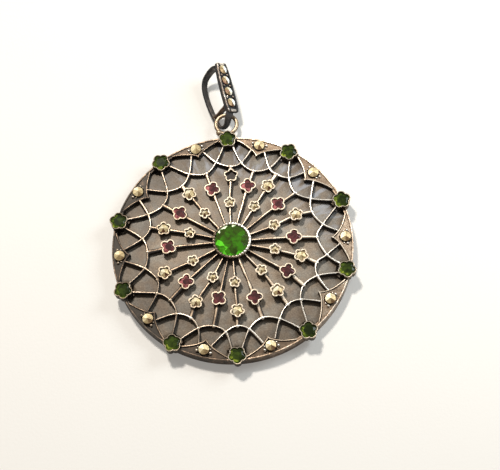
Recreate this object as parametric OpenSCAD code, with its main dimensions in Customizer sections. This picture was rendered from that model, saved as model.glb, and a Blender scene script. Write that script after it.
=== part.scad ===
// Medallion pendant: a domed openwork disc over a back plate, set with stones, with a bail.
// Millimetres. The medallion lies on its foot ring at z = 0, front up, with the bail towards +Y.
// Angles are clockwise from +Y, the way a clock face reads.

/* [Case] */
// Diameter over the rim wall
rim_d = 41.8; // [41.4:0.1:42.4]
// Height of the raised outer edge of the rim
rim_h = 2.3; // [2.2:0.05:2.6]
// Thickness of the rim wall
rim_wall = 0.6; // [0.5:0.05:0.8]
// Thickness of the back plate
plate_t = 0.5; // [0.4:0.05:0.6]
// Depth of the back plate under the openwork's upper side
plate_drop = 0.85; // [0.85:0.05:1.2]

/* [Openwork] */
// Height of the openwork's upper side at the centre
dome_h = 4.2; // [4.1:0.05:4.5]
// Height of the openwork's upper side over the rim
dome_edge_h = 2.2; // [2.1:0.05:2.3]
// Width of a ray or lattice wire
wire_w = 0.42; // [0.3:0.02:0.55]
// Thickness of a ray or lattice wire
wire_t = 0.6; // [0.5:0.05:0.7]
// Height of the flower cups above the wires
cup_rise = 0.28; // [0.2:0.02:0.4]

/* [Settings] */
// Diameter over the centre bezel
bezel_d = 6.6; // [6.2:0.1:6.8]
// Height of the centre bezel's beaded edge
bezel_h = 4.9; // [4.8:0.05:5.2]
// Reach of a rim collet's lobes from its centre
collet_reach = 1.63; // [1.55:0.01:1.75]
// Height of a rim collet's edge
collet_h = 2.95; // [2.8:0.05:3.1]
// Reach of a red cup's petals from its centre
red_reach = 1.45; // [1.4:0.01:1.55]
// Reach of an outer pale cup's petals from its centre
outer_reach = 1.3; // [1.25:0.01:1.4]
// Reach of an inner pale cup's petals from its centre
inner_reach = 1.08; // [1.05:0.01:1.15]

/* [Stones] */
// Diameter of the centre stone
centre_d = 5.76; // [5.4:0.02:5.8]
// Diameter of a rim stone
rim_stone_d = 2.46; // [2.3:0.02:2.5]
// Diameter of a rim marcasite
rim_marcasite_d = 1.8; // [1.6:0.02:1.84]
// Diameter of a red stone
red_d = 1.5; // [1.4:0.02:1.52]
// Diameter of an outer pale marcasite
outer_d = 1.6; // [1.5:0.02:1.62]
// Diameter of an inner pale marcasite
inner_d = 1.08; // [1:0.02:1.1]
// Diameter of a bail marcasite
bail_stone_d = 1.6; // [1.5:0.02:1.64]

/* [Hanging ring] */
// Outer diameter of the hanging ring
ring_d = 4.3; // [4.2:0.05:4.4]
// Thickness of the hanging ring's wire
ring_wire = 0.56; // [0.5:0.02:0.6]
// Height of the hanging ring's middle above the foot
ring_h = 1.55; // [1.4:0.05:1.7]

/* [Bail] */
// Length of the bail's channel strip
strip_l = 9.5; // [9.3:0.1:9.7]
// Width of the channel strip at its widest
strip_w = 2.9; // [2.8:0.05:3.0]
// Thickness of the channel strip
strip_t = 0.9; // [0.8:0.05:0.95]
// Width of the bail's thin back strip
back_w = 1.0; // [0.9:0.05:1.1]
// Thickness of the bail's thin back strip
back_t = 0.5; // [0.4:0.05:0.55]
// Turn of the bail on its side, where 0 is face up
bail_flop = 54; // [53:0.5:55]
// How far the channel strip is twisted to face up more than the loop behind it
strip_twist = 12; // [10:1:13]
// Lean of the bail to the left
bail_lean = 8.5; // [8:0.5:9]
// Rise of the bail towards its far end
bail_pitch = 8; // [7.5:0.5:8.5]

/* [Hidden] */

$fn = 48;
rim_r = rim_d / 2;
seat_gap = 0.02;
side_gap = 0.05;

// One row for each tenth of the disc.
// Columns: rim stone angle, radius; outer cup angle, radius; inner cup angle, radius
pale_sites = [
    [2.5, 20.4, 4.0, 12.8, 2.0, 7.4],
    [34.5, 20.2, 35.5, 12.3, 35.5, 7.6],
    [72.0, 20.7, 70.5, 12.2, 73.0, 7.9],
    [109.0, 20.3, 107.5, 12.2, 107.0, 7.6],
    [146.0, 20.5, 144.0, 11.9, 141.5, 7.4],
    [182.5, 20.2, 180.5, 12.5, 181.0, 7.5],
    [214.5, 20.5, 214.5, 12.4, 211.5, 7.3],
    [251.5, 20.4, 250.0, 12.7, 248.0, 7.5],
    [288.5, 20.4, 288.5, 12.2, 289.0, 7.5],
    [326.5, 20.4, 326.5, 12.0, 324.0, 7.2]
];
// Columns: rim panel angle, radius of its inner tip; red cup angle, radius
red_sites = [
    [19.0, 17.4, 19.5, 11.0],
    [51.5, 17.5, 53.5, 10.6],
    [91.5, 17.3, 90.5, 10.7],
    [126.5, 17.4, 125.0, 11.0],
    [165.5, 18.1, 164.0, 10.9],
    [199.0, 17.9, 197.0, 10.5],
    [232.0, 18.0, 232.5, 10.6],
    [270.0, 17.9, 271.5, 11.0],
    [307.0, 17.4, 306.5, 10.7],
    [345.5, 18.1, 346.0, 10.7]
];
// How far each red cup, and each inner pale cup, is turned from +Y
red_turns = [0, 45, 10, 20, 0, 45, 10, 35, 40, 20];
inner_turns = [0, 45, 30, 10, 50, 10, 40, 30, 15, 40];
// One row for each arc of the lattice, the arcs opening outwards.
// Columns: bottom angle, radius; crossing with the next arc angle, radius
arcs = [
    [3.8, 14.8, 10.8, 15.6],
    [20.3, 14.3, 29.3, 15.8],
    [35.8, 15.3, 43.5, 15.9],
    [54.5, 14.5, 63.7, 16.0],
    [72.3, 15.0, 82.6, 16.1],
    [91.4, 14.7, 102.9, 16.4],
    [109.3, 15.0, 118.0, 15.8],
    [127.9, 14.6, 136.8, 15.7],
    [145.1, 14.8, 154.7, 16.0],
    [164.3, 14.6, 174.3, 15.9],
    [181.4, 15.1, 188.8, 16.1],
    [196.5, 15.3, 205.5, 16.3],
    [212.3, 15.2, 221.7, 15.8],
    [230.9, 14.7, 240.3, 15.6],
    [248.2, 14.3, 259.4, 15.6],
    [269.9, 14.7, 279.7, 15.6],
    [288.4, 14.6, 297.0, 15.8],
    [306.8, 14.2, 316.9, 15.3],
    [326.6, 14.2, 335.7, 15.5],
    [346.2, 14.2, 354.7, 16.0]
];
arc_count = len(arcs);
arc_steps = 4;
// Step between the heights of wires that cross
layer_step = 0.03;
// Where a lattice arc ends: angle from the middle of the collet or panel, and radius
collet_end = [2.2, 19.3];
panel_end = [3.4, 18.7];

// Rim panels
panel_half_angle = 12.5;
panel_side_r = 20.45;
panel_curve = 0.75;
panel_spread = 1.3;
panel_edge_w = 0.34;
panel_steps = 5;
panel_floor_t = 0.4;
panel_sink = 0.12;
rim_marcasite_r = 19.6;
rim_marcasite_t = 0.6;

// Rim wall, its seat for the plate and its raised edge
rim_top = 2.1;
edge_w = 0.25;
ledge_w = 0.3;
ledge_h = 0.4;

// Back plate
flange_w = 1.2;
shoulder_r = 18.2;
shoulder_steps = 8;

// Settings
collet_base = 1.2;
collet_floor = 1.9;
cup_depth = 0.55;
bezel_base = 3.45;
bezel_floor = 3.75;
bezel_wall = 0.35;
cup_wall = 0.26;
ray_start_r = 3.1;

// Hanging ring, behind the first collet
ring_pos = [0.9, 23.87];
ring_r = (ring_d - ring_wire) / 2;
lug_size = [1.5, 1.6, 0.66];
lug_y = 21.55;
solder_pos = [-0.55, 22.3, 1.65];
solder_r = 0.5;

// The bail's own frame: x across the strip, y along it, z out of its front face
bail_pos = [2.35, 25.55, 3.0];
// The loop of the thin strip, columns: distance along the bail, depth behind the front face
loop_points = [
    [0.4, 0.5],
    [3.0, 0.45],
    [6.0, 0.45],
    [8.6, 0.5],
    [9.2, 1.2],
    [9.1, 2.1],
    [8.6, 3.2],
    [7.8, 4.2],
    [6.4, 4.75],
    [4.4, 4.8],
    [2.0, 4.5],
    [0.0, 4.1],
    [-1.3, 3.7],
    [-1.9, 2.8],
    [-1.8, 1.7],
    [-1.0, 0.95]
];
loop_steps = 4;
// The strap that closes the loop above the hanging ring, columns as above
strap_points = [
    [1.9, 0.55],
    [1.45, 1.4],
    [1.0, 2.4],
    [0.6, 3.3],
    [0.4, 4.15]
];
strap_t = 0.36;
// Outline of the channel strip, columns: distance along it as a share of its length, width as a share
strip_outline = [
    [0.0, 0.86],
    [0.12, 0.95],
    [0.35, 1.0],
    [0.65, 0.99],
    [0.85, 0.9],
    [1.0, 0.72]
];
channel_margin = 0.4;
channel_depth = 0.3;
bail_stones_y = [1.75, 3.95, 6.1, 8.25];

// A point at a clockwise angle and a radius
function at(angle, r) = [r * sin(angle), r * cos(angle)];

// The radius of the sphere that rises by h over a circle of radius r
function cap_r(h, r) = (r * r + h * h) / (2 * h);

dome_r = cap_r(dome_h - dome_edge_h, rim_r);
plate_r = rim_r - rim_wall - side_gap;
plate_dome_base = plate_r - flange_w;
shoulder_w = plate_dome_base - shoulder_r;

// Height of the openwork's upper side at a radius
function dome_z(r) = dome_h - dome_r + sqrt(dome_r * dome_r - r * r);

// Share of the fall from the plate's dome to its flange at a radius
function plate_fall(r) = (1 - cos(180 * max(0, r - shoulder_r) / shoulder_w)) / 2;

// Height of the back plate's upper side at a radius
function plate_z(r) = (dome_z(r) - plate_drop) * (1 - plate_fall(r)) + plate_t * plate_fall(r);

// A smooth curve through points: the place at share t between b and c
function spline(a, b, c, d, t) =
    (2 * b + (c - a) * t + (2 * a - 5 * b + 4 * c - d) * t * t
    + (3 * b - a - 3 * c + d) * t * t * t) / 2;

function smooth_open(p, steps) = concat(
    [for (i = [0:len(p) - 2]) for (s = [0:steps - 1])
        spline(p[max(i - 1, 0)], p[i], p[i + 1], p[min(i + 2, len(p) - 1)], s / steps)],
    [p[len(p) - 1]]
);

function smooth_closed(p, steps) = [
    for (i = [0:len(p) - 1]) for (s = [0:steps - 1])
        let (n = len(p))
        spline(p[(i + n - 1) % n], p[i], p[(i + 1) % n], p[(i + 2) % n], s / steps)
];

function unit(v) = v / norm(v);

function left_of(v) = [-v[1], v[0]];

// The outline of a stroke of width w along open points
function stroke(p, w) =
    let (n = len(p))
    let (side = [for (i = [0:n - 1]) left_of(unit(p[min(i + 1, n - 1)] - p[max(i - 1, 0)])) * w / 2])
    concat(
        [for (i = [0:n - 1]) p[i] + side[i]],
        [for (i = [n - 1:-1:0]) p[i] - side[i]]
    );

// Closed points moved sideways by d
function beside(p, d) =
    let (n = len(p))
    [for (i = [0:n - 1]) p[i] + left_of(unit(p[(i + 1) % n] - p[(i + n - 1) % n])) * d];

// Even arcs stand over pale rays and end on panels, odd arcs over red rays and end on collets
function arc_start(i) = i % 2 == 0
    ? at(red_sites[(i / 2 + 9) % 10][0] + panel_end[0], panel_end[1])
    : at(pale_sites[(i - 1) / 2][0] + collet_end[0], collet_end[1]);

function arc_end(i) = i % 2 == 0
    ? at(red_sites[i / 2][0] - panel_end[0], panel_end[1])
    : at(pale_sites[((i + 1) / 2) % 10][0] - collet_end[0], collet_end[1]);

function arc_path(i) =
    let (before = arcs[(i + arc_count - 1) % arc_count])
    smooth_open([
        arc_start(i),
        at(before[2], before[3]),
        at(arcs[i][0], arcs[i][1]),
        at(arcs[i][2], arcs[i][3]),
        arc_end(i)
    ], arc_steps);

// One half of a panel's inner edge, from its tip to the rim
function panel_edge(k, side) = [
    for (s = [0:panel_steps])
        let (share = pow(s / panel_steps, panel_spread))
        let (tip_r = red_sites[k][1])
        at(
            red_sites[k][0] + side * panel_half_angle * share,
            tip_r + (panel_side_r - tip_r) * pow(share, panel_curve)
        )
];

module pale_ray(k) {
    site = pale_sites[k];
    polygon(stroke([
        at(site[4], ray_start_r),
        at(site[4], site[5]),
        at(site[2], site[3]),
        at(arcs[2 * k][0], arcs[2 * k][1])
    ], wire_w));
}

module red_ray(k) {
    site = red_sites[k];
    polygon(stroke([
        at(site[2], ray_start_r),
        at(site[2], site[3]),
        at(arcs[2 * k + 1][0], arcs[2 * k + 1][1])
    ], wire_w));
}

module panel_field(k) {
    left = panel_edge(k, -1);
    right = panel_edge(k, 1);
    polygon(concat(
        [for (s = [panel_steps:-1:0]) left[s]],
        [for (s = [1:panel_steps]) right[s]],
        [for (share = [0.5, 0, -0.5]) at(red_sites[k][0] + share * panel_half_angle, panel_side_r)]
    ));
}

// What lies between the dome's upper side lowered by top and by bottom
module dome_layer(top, bottom) {
    intersection() {
        linear_extrude(dome_h + 1) children();
        translate([0, 0, dome_h - dome_r]) difference() {
            rotate([90, 0, 0]) sphere(dome_r - top, $fn = 360);
            rotate([90, 0, 0]) sphere(dome_r - bottom, $fn = 360);
        }
    }
}

// Wires that cross lie a little above or below each other, as they do where they are soldered
module lattice_arcs(first, sink) {
    dome_layer(sink, sink + wire_t) {
        for (i = [first:2:arc_count - 1]) polygon(stroke(arc_path(i), wire_w));
    }
}

module rays() {
    dome_layer(2 * layer_step, 2 * layer_step + wire_t) {
        for (k = [0:9]) pale_ray(k);
        for (k = [0:9]) red_ray(k);
    }
}

module panel_edges() {
    dome_layer(-layer_step, wire_t - layer_step) {
        for (k = [0:9]) for (side = [-1, 1]) {
            polygon(stroke(panel_edge(k, side), panel_edge_w));
        }
    }
}

module panel_floors() {
    dome_layer(panel_sink, panel_sink + panel_floor_t) {
        for (k = [0:9]) panel_field(k);
    }
}

module rim() {
    rotate_extrude() polygon([
        [rim_r - rim_wall, 0],
        [rim_r, 0],
        [rim_r, rim_h],
        [rim_r - edge_w, rim_h],
        [rim_r - edge_w, rim_top],
        [rim_r - rim_wall, rim_top],
        [rim_r - rim_wall, plate_t + ledge_h],
        [rim_r - rim_wall - ledge_w, plate_t + ledge_h],
        [rim_r - rim_wall - ledge_w, plate_t],
        [rim_r - rim_wall, plate_t]
    ]);
}

// A flower outline: round petals about a round middle, all made smaller by wall
module flower(reach, share, petals, middle_r, wall) {
    petal_r = reach * share;
    circle(middle_r);
    for (p = [0:petals - 1]) {
        translate(at(p * 360 / petals, reach - petal_r)) circle(petal_r - wall);
    }
}

module place(angle, r, turn = 0) {
    translate(at(angle, r)) rotate(-turn) children();
}

module upright(low, high) {
    translate([0, 0, low]) linear_extrude(high - low) children();
}

// Draws its children once at each flower cup, which tells them its petals, reach, stone and place
module each_cup() {
    for (k = [0:9]) {
        $petals = 5;
        $share = 0.43;
        $reach = outer_reach;
        $stone_d = outer_d;
        $r = pale_sites[k][3];
        place(pale_sites[k][2], $r, pale_sites[k][2]) children();
    }
    for (k = [0:9]) {
        $petals = 5;
        $share = 0.45;
        $reach = inner_reach;
        $stone_d = inner_d;
        $r = pale_sites[k][5];
        place(pale_sites[k][4], $r, inner_turns[k]) children();
    }
    for (k = [0:9]) {
        $petals = 4;
        $share = 0.5;
        $reach = red_reach;
        $stone_d = red_d;
        $r = red_sites[k][3];
        place(red_sites[k][2], $r, red_turns[k]) children();
    }
}

module settings() {
    each_cup() upright(dome_z($r) - wire_t + 2 * seat_gap, dome_z($r) + cup_rise)
        flower($reach, $share, $petals, $stone_d / 2, 0);
    for (k = [0:9]) place(pale_sites[k][0], pale_sites[k][1], pale_sites[k][0])
        upright(collet_base, collet_h) flower(collet_reach, 0.54, 5, rim_stone_d / 2, 0);
    upright(bezel_base, bezel_h) circle(d = bezel_d);
}

module pockets() {
    each_cup() upright(dome_z($r) + cup_rise - cup_depth, dome_h + 2)
        flower($reach, $share, $petals, $stone_d / 2 + side_gap, cup_wall);
    for (k = [0:9]) place(pale_sites[k][0], pale_sites[k][1])
        upright(collet_floor, dome_h) circle(d = rim_stone_d + 2 * side_gap);
    upright(bezel_floor, bezel_h + 1) circle(d = bezel_d - 2 * bezel_wall);
}

module hanging_ring() {
    translate([ring_pos[0], ring_pos[1], ring_h]) rotate_extrude() translate([ring_r, 0]) circle(d = ring_wire);
    translate([ring_pos[0] - lug_size[0] / 2, lug_y - lug_size[1] / 2, ring_h - lug_size[2] / 2]) cube(lug_size);
    translate(solder_pos) sphere(solder_r);
}

module openwork_frame() {
    color("#8b8378") {
        difference() {
            union() {
                lattice_arcs(0, 0);
                lattice_arcs(1, layer_step);
                rays();
                panel_edges();
                panel_floors();
                rim();
                settings();
            }
            pockets();
        }
        hanging_ring();
    }
}

module back_plate() {
    dome = [for (i = [0:shoulder_steps - 1]) shoulder_r * i / shoulder_steps];
    shoulder = [for (i = [0:shoulder_steps]) shoulder_r + shoulder_w * i / shoulder_steps];
    radii = concat(dome, shoulder);
    color("#6f6459") rotate_extrude($fn = 96) polygon(concat(
        [for (r = radii) [r, plate_z(r)]],
        [[plate_r, plate_t], [plate_r, 0]],
        [for (i = [len(radii) - 1:-1:0]) [radii[i], plate_z(radii[i]) - plate_t]]
    ));
}

// A round stone with a flat back: its widest part at girdle, its top face as a share of its width
module stone(d, height, girdle, top_share) {
    rotate_extrude() polygon([
        [0, 0],
        [d * 0.42, 0],
        [d / 2, girdle],
        [d / 2, girdle + 0.08],
        [d / 2 * top_share, height],
        [0, height]
    ]);
}

module centre_stone() {
    color("#3f8f1d") translate([0, 0, bezel_floor + seat_gap]) stone(centre_d, 1.4, 0.75, 0.6);
}

module rim_stone(k) {
    color("#3c5220") place(pale_sites[k][0], pale_sites[k][1])
        translate([0, 0, collet_floor + seat_gap]) stone(rim_stone_d, 1.2, 0.7, 0.58);
}

module rim_marcasite(k) {
    r = rim_marcasite_r;
    color("#d9c48a") place(red_sites[k][0], r)
        translate([0, 0, dome_z(r - rim_marcasite_d / 2) - panel_sink + seat_gap])
        stone(rim_marcasite_d, rim_marcasite_t, 0.15, 0.3);
}

module cup_stone(d, r, height, top_share) {
    translate([0, 0, dome_z(r) + cup_rise - cup_depth + seat_gap]) stone(d, height, 0.25, top_share);
}

module red_stone(k) {
    color("#8e3a44") place(red_sites[k][2], red_sites[k][3]) cup_stone(red_d, red_sites[k][3], 0.5, 0.6);
}

module outer_marcasite(k) {
    color("#d9c48a") place(pale_sites[k][2], pale_sites[k][3]) cup_stone(outer_d, pale_sites[k][3], 0.65, 0.3);
}

module inner_marcasite(k) {
    color("#d9c48a") place(pale_sites[k][4], pale_sites[k][5]) cup_stone(inner_d, pale_sites[k][5], 0.6, 0.3);
}

// From the bail's own frame to where it lies, turned on its side and through the hanging ring
module lay_bail() {
    translate(bail_pos) rotate([0, 0, bail_lean]) rotate([bail_pitch, 0, 0]) rotate([0, bail_flop, 0]) children();
}

module strip_plan(width, low, high) {
    right = [for (row = strip_outline) [row[1] * width / 2, low + row[0] * (high - low)]];
    left = [for (i = [len(right) - 1:-1:0]) [-right[i][0], right[i][1]]];
    polygon(concat(right, left));
}

// The loop's outline lies in the plane of the bail's length and depth, and its width goes across
module bail_loop() {
    path = smooth_closed([for (row = loop_points) [row[0], -row[1]]], loop_steps);
    last = len(strap_points) - 1;
    strap = concat(
        [for (row = strap_points) [row[0] + strap_t / 2, -row[1]]],
        [for (i = [last:-1:0]) [strap_points[i][0] - strap_t / 2, -strap_points[i][1]]]
    );
    rotate([90, 0, 90]) translate([0, 0, -back_w / 2]) linear_extrude(back_w) {
        difference() {
            polygon(beside(path, back_t / 2));
            polygon(beside(path, -back_t / 2));
        }
        polygon(strap);
    }
}

// Twists the channel strip about its raised edge
module face_up() {
    edge = [-strip_w / 2, 0, -strip_t / 2];
    translate(edge) rotate([0, -strip_twist, 0]) translate(-edge) children();
}

module bail() {
    color("#7d766c") lay_bail() {
        difference() {
            union() {
                bail_loop();
                face_up() translate([0, 0, -strip_t]) linear_extrude(strip_t) strip_plan(strip_w, 0, strip_l);
            }
            face_up() translate([0, 0, -channel_depth]) linear_extrude(channel_depth + 1)
                strip_plan(strip_w - 2 * channel_margin, channel_margin, strip_l - channel_margin);
        }
    }
}

module bail_marcasite(k) {
    color("#d9c48a") lay_bail() face_up() translate([0, bail_stones_y[k], -channel_depth + seat_gap])
        stone(bail_stone_d, 0.42, 0.14, 0.3);
}

openwork_frame();
back_plate();
bail();
centre_stone();
for (k = [1:10]) {
    rim_stone(k - 1);
    rim_marcasite(k - 1);
    red_stone(k - 1);
    inner_marcasite(k - 1);
}
for (k = [2:10]) {
    outer_marcasite(k - 1);
}
for (k = [1:4]) {
    bail_marcasite(k - 1);
}
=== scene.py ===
import math
import random

import bpy
import bmesh
from mathutils import Matrix, Vector, noise

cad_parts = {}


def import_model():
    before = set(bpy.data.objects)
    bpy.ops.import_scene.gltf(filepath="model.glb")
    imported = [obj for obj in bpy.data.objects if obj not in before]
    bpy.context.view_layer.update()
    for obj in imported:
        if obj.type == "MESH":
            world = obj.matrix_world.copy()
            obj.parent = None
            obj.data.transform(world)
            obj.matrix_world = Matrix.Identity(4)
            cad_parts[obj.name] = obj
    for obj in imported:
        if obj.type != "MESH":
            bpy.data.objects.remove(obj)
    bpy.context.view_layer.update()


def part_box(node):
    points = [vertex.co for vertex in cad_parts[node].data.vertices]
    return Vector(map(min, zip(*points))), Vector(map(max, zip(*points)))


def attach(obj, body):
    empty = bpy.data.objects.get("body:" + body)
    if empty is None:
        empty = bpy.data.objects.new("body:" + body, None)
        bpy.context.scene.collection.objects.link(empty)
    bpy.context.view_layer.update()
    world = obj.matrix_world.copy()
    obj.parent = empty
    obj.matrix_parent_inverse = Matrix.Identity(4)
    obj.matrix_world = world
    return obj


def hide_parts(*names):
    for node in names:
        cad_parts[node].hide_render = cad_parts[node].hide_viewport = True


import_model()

# Lengths are millimetres and angles are degrees clockwise from +Y, as in the part's source.
# Meshes are made in millimetres and scaled to metres when they become pieces.
# Wear, with painted shade mixed into it, runs from 0, dark, to 1, bright.
MM = 0.001
SHARP_ANGLE = 38

# Case
RIM_R = 20.9
RIM_H = 2.3
RIM_WALL = 0.6
RIM_TOP = 2.1
EDGE_W = 0.25
PLATE_T = 0.5
PLATE_DROP = 0.85
PLATE_R = 20.25
PLATE_SHOULDER_R = 18.2
PLATE_DOME_BASE = 19.05
PLATE_SIDES = 320
PLATE_WELD = 0.08
# Height and size of the plate's dents
PLATE_DENTS = ((0.04, 3.4), (0.015, 1.3))

# Openwork
DOME_H = 4.2
DOME_EDGE_H = 2.2
DOME_RISE = DOME_H - DOME_EDGE_H
DOME_R = (RIM_R ** 2 + DOME_RISE ** 2) / (2 * DOME_RISE)
HAND_SHIFT = 0.07
HAND_SIZE = 2.6
WIRE_W = 0.42
WIRE_T = 0.72
WIRE_CROWN = 0.17
WIRE_STEP = 0.45
WIRE_SIDE_WEAR = 0.12
WIRE_TOP_WEAR = 0.8
WIDTH_PLAY = 0.4
WIDTH_SIZE = 2.0
WIDTH_SEED = Vector((31, 0, 0))
CROWN_STEPS = 8
ARC_STEPS = 9
LAYER_STEP = 0.03
JOINT_SINK = 0.16
JOINT_R = 0.34
JOINT_H = 0.2
RAY_START_R = 3.1
RAY_SPREAD = 0.07
RAY_SPREAD_R = 7
RAY_W = 0.52
COLLET_END = (2.2, 19.3)
PANEL_END = (3.4, 18.7)
PANEL_HALF_ANGLE = 12.5
PANEL_SIDE_R = 20.45
PANEL_UNDER_RIM = 0.12
PANEL_CURVE = 0.75
PANEL_EDGE_W = 0.34
PANEL_EDGE_STEPS = 14
PANEL_EDGE_BUNCHING = 1.3
PANEL_TIP = 0.12
PANEL_FLOOR_T = 0.4
PANEL_SINK = 0.12
PIT_R = 1.08
PIT_DEPTH = 0.3
PIT_SLOPE = 0.12
RIM_MARCASITE_R = 19.6
# Grains at each side of a rim marcasite: angle from it, radius, size
GRAINS = ((3.55, 19.95, 0.27), (3.3, 19.35, 0.16))

# Settings
BEZEL_R = 3.3
BEZEL_H = 4.9
BEZEL_BASE = 3.45
BEZEL_FLOOR = 3.75
BEZEL_WALL = 0.35
BEZEL_BEADS = 34
BEAD_INSET = 0.2
BEAD_H = 0.19
BEAD_R = (0.235, 0.275)
BEAD_WEAR = 0.85
BEAD_RUB_AND_SHEEN = 0.4
BEAD_STRETCH = 1.3
STRETCH_FROM = 0.2
STRETCH_OVER = 0.5
# Painted shade on a bead: the share of its brightness kept at its side and under it
BEAD_SIDE_SHADE = 0.55
BEAD_UNDER_SHADE = 0.2
COLLET_BASE = 1.2
COLLET_H = 2.95
COLLET_FLOOR = 1.9
COLLET_CLEAR = 1.72
COLLET_WALL = 0.17
HOLLOW_DROP = 0.15
HOLLOW_SLOPE = 0.25
CUP_FOOT = 0.04
CUP_RISE = 0.28
CUP_DEPTH = 0.55
CUP_WALL = 0.27
CUP_DENT = 0.05
CUP_DENT_PITCH = 1.7
# Flowers: reach of the petals, a petal's radius as a share of it, their number, the hole's radius
COLLET_FORM = (1.63, 0.51, 5, 1.17)
RED_FORM = (1.45, 0.5, 4, 0.8)
OUTER_FORM = (1.3, 0.43, 5, 0.83)
INNER_FORM = (1.08, 0.45, 5, 0.57)
# An inset that leaves nothing of the petals but the round hole
ROUND_HOLE = 9.0
# How far a ray stops before the middle of its cup
INNER_GAP = 0.9
OUTER_GAP = 1.12
RED_GAP = 1.22

# Hanging ring and bail
RING_AT = (0.9, 23.87, 1.55)
RING_R = 1.87
RING_WIRE = 0.72
LUG_SIZE = (1.5, 1.6, 0.66)
LUG_Y = 21.55
SOLDER_AT = (-0.55, 22.3, 1.65)
SOLDER_R = 0.55
BAIL_AT = (2.35, 25.55, 3.0)
BAIL_LEAN = 8.5
BAIL_PITCH = 8
BAIL_FLOP = 54
BAIL_LOWEST = 0.03
STRIP_L = 9.5
STRIP_W = 2.9
STRIP_T = 0.9
STRIP_TWIST = 12
STRIP_STEPS = 48
CHANNEL_MARGIN = 0.4
CHANNEL_DEPTH = 0.3
CHANNEL_SLOPE = 0.12
LOW_EDGE_WEAR = 0.5
NECK_WEAR = 0.72
NECK_L = 3.6
BAIL_STONES_Y = (1.75, 3.95, 6.1, 8.25)
BAIL_STONE_D = 1.6
PRONG_AT = (0.68, -0.12)
PRONG_R = 0.2
BACK_W = 1.3
BACK_T = 0.5
BACK_SOFT = 0.12
STRAP_T = 0.36
STRAP_SOFT = 0.08

# Places as (angle, radius), clockwise from the bail. Panels are given at their tip.
RIM_STONES = [
    (2.5, 20.4), (34.5, 20.2), (72.0, 20.7), (109.0, 20.3), (146.0, 20.5),
    (182.5, 20.2), (214.5, 20.5), (251.5, 20.4), (288.5, 20.4), (326.5, 20.4),
]
OUTER_CUPS = [
    (4.0, 12.8), (35.5, 12.3), (70.5, 12.2), (107.5, 12.2), (144.0, 11.9),
    (180.5, 12.5), (214.5, 12.4), (250.0, 12.7), (288.5, 12.2), (326.5, 12.0),
]
INNER_CUPS = [
    (2.0, 7.4), (35.5, 7.6), (73.0, 7.9), (107.0, 7.6), (141.5, 7.4),
    (181.0, 7.5), (211.5, 7.3), (248.0, 7.5), (289.0, 7.5), (324.0, 7.2),
]
PANELS = [
    (19.0, 17.4), (51.5, 17.5), (91.5, 17.3), (126.5, 17.4), (165.5, 18.1),
    (199.0, 17.9), (232.0, 18.0), (270.0, 17.9), (307.0, 17.4), (345.5, 18.1),
]
RED_CUPS = [
    (19.5, 11.0), (53.5, 10.6), (90.5, 10.7), (125.0, 11.0), (164.0, 10.9),
    (197.0, 10.5), (232.5, 10.6), (271.5, 11.0), (306.5, 10.7), (346.0, 10.7),
]
OUTER_TURNS = [angle for angle, _ in OUTER_CUPS]
INNER_TURNS = (0, 45, 30, 10, 50, 10, 40, 30, 15, 40)
RED_TURNS = (0, 45, 10, 20, 0, 45, 10, 35, 40, 20)
# The first outer cup has lost its stone
EMPTY_CUPS = 1
# Lattice arcs: bottom angle, radius; crossing with the next arc angle, radius
ARCS = [
    (3.8, 14.8, 10.8, 15.6), (20.3, 14.3, 29.3, 15.8), (35.8, 15.3, 43.5, 15.9),
    (54.5, 14.5, 63.7, 16.0), (72.3, 15.0, 82.6, 16.1), (91.4, 14.7, 102.9, 16.4),
    (109.3, 15.0, 118.0, 15.8), (127.9, 14.6, 136.8, 15.7), (145.1, 14.8, 154.7, 16.0),
    (164.3, 14.6, 174.3, 15.9), (181.4, 15.1, 188.8, 16.1), (196.5, 15.3, 205.5, 16.3),
    (212.3, 15.2, 221.7, 15.8), (230.9, 14.7, 240.3, 15.6), (248.2, 14.3, 259.4, 15.6),
    (269.9, 14.7, 279.7, 15.6), (288.4, 14.6, 297.0, 15.8), (306.8, 14.2, 316.9, 15.3),
    (326.6, 14.2, 335.7, 15.5), (346.2, 14.2, 354.7, 16.0),
]
# Bail strip's loop: distance along the bail, depth behind its front face
LOOP_POINTS = [
    (0.4, 0.5), (3.0, 0.45), (6.0, 0.45), (8.6, 0.5), (9.2, 1.2), (9.1, 2.1), (8.6, 3.2),
    (7.8, 4.2), (6.4, 4.75), (4.4, 4.8), (2.0, 4.5), (0.2, 4.1), (-1.2, 3.75), (-1.9, 3.0),
    (-1.85, 2.1), (-1.05, 1.25),
]
# Where the loop is wider or narrower: by how much, distance, depth, reach
LOOP_WIDTHS = ((0.45, 9.2, 1.2, 4.5), (-0.16, -1.9, 2.8, 3.2), (0.5, -0.4, 0.8, 2.2))
# Where it is rubbed bright and where it lies to the left, the same way
LOOP_RUB = (0.4, -0.8, 1.2, 2.2)
LOOP_SHIFT = (-0.42, -0.6, 1.0, 2.6)
# Strap that closes the loop above the hanging ring, as distance and depth
STRAP_POINTS = [(1.9, 0.55), (1.45, 1.4), (1.0, 2.4), (0.6, 3.3), (0.4, 4.15)]
# Channel strip's outline: distance along it as a share of its length, width as a share
STRIP_OUTLINE = [
    (0.0, 0.85), (0.12, 0.95), (0.35, 1.0), (0.65, 0.99), (0.85, 0.9), (1.0, 0.72),
]

# Stones
STONE_PLAY = 0.02
LOBED_TABLE = 0.7
LOBED_FACET = 5
LOBED_GIRDLE = 0.1
LOBED_STEP_OUT = 0.55
LOBED_STEP_DOWN = 0.45
ROUND_GIRDLE = 0.08
ROUND_MID_UP = 0.55
ROUND_MID_OUT = 0.24
ROUND_BACK = 0.84
GIRDLE_TONE = 0.1
PYRITE_FACETS = 6
PYRITE_FACET_STEPS = 6
PYRITE_GIRDLE = 0.12
PYRITE_FALL = 0.6
# Marcasite facets are painted lighter or darker by the way they face the light
PYRITE_TONE = 0.56
PYRITE_SIDE_TONE = 0.15
PYRITE_SPREAD = (-0.1, 0.12)
PYRITE_DARK = (0.05, 0.35)
DARK_FACING = 0.87
RED_TABLE_TONE = 0.22
RED_SHADE = 0.16
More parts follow.
